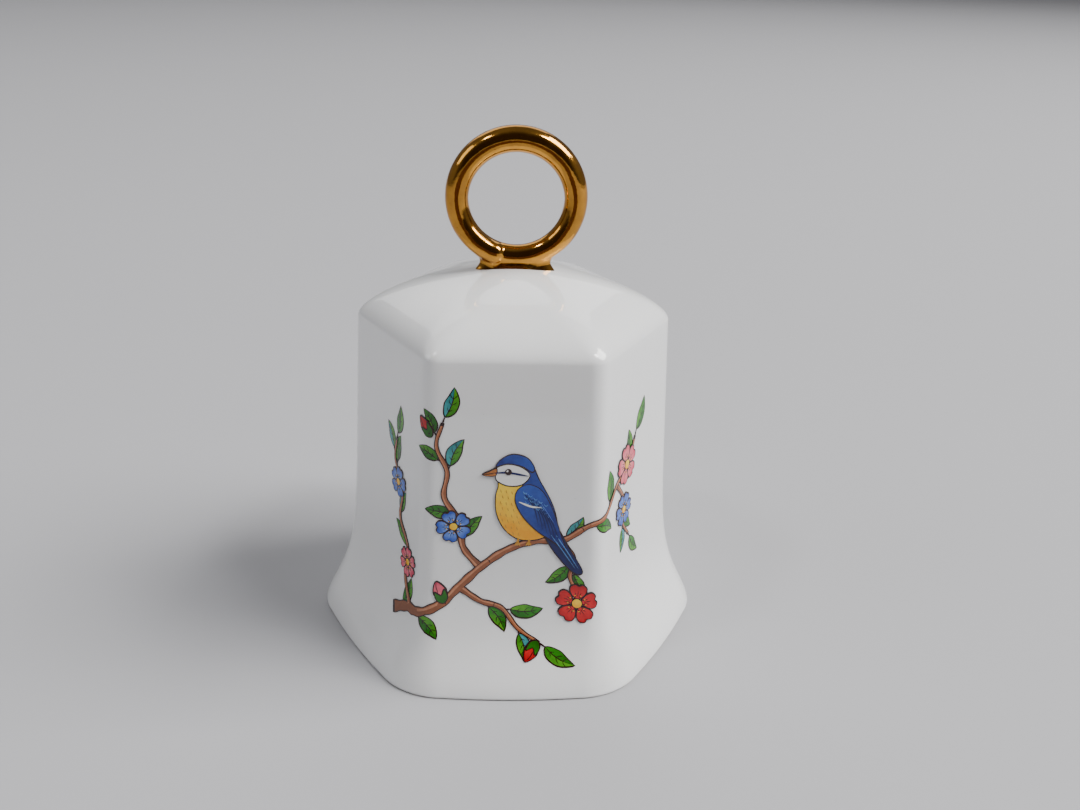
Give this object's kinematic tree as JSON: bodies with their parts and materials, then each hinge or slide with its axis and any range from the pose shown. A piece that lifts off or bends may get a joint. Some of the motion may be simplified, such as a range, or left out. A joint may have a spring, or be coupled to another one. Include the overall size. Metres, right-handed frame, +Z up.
{
  "type": "porcelain bell",
  "caption": "Small six-sided porcelain hand bell with a flared rim, a gilded ring handle and a drop-shaped clapper on a short chain.",
  "frame": {"origin": "middle of the plane that the rim stands on", "axes": "+Z up through the crown and the ring handle, -Y out of the front side, the ring handle in the XZ plane"},
  "size_m": [0.0704, 0.0654, 0.0904],
  "materials": {
    "glazed_porcelain": "white china under a clear bright glaze, with enamelled birds, branches and flowers",
    "gilding": "bright gold lustre fired over the glaze",
    "cement": "matt, off-white, hand-smoothed",
    "brass_wire": "drawn wire, lightly tarnished",
    "clapper_glaze": "plain white glaze"
  },
  "bodies": {
    "shell": {"bell_body": "glazed_porcelain", "ring_handle": "gilding", "crown_cement": "cement", "hanger_staple": "brass_wire"},
    "upper_link": {"chain_link_1": "brass_wire"},
    "middle_link": {"chain_link_2": "brass_wire"},
    "lower_link": {"chain_link_3": "brass_wire"},
    "clapper": {"clapper_pin": "brass_wire", "clapper_drop": "clapper_glaze"}
  },
  "joints": [
    {"name": "upper_link_swing", "type": "hinge", "parent": "shell", "child": "upper_link", "pos_m": [0, 0, 0.0563], "axis": [1, 0, 0], "range_deg": [-19.5, 19.5]},
    {"name": "middle_link_swing", "type": "hinge", "parent": "upper_link", "child": "middle_link", "pos_m": [0, 0, 0.04833], "axis": [0, 1, 0], "range_deg": [-9, 9]},
    {"name": "lower_link_swing", "type": "hinge", "parent": "middle_link", "child": "lower_link", "pos_m": [0, 0, 0.04037], "axis": [1, 0, 0], "range_deg": [-15, 15]},
    {"name": "clapper_swing", "type": "hinge", "parent": "lower_link", "child": "clapper", "pos_m": [0, 0, 0.0324], "axis": [0, 1, 0], "range_deg": [-20, 20]}
  ]
}
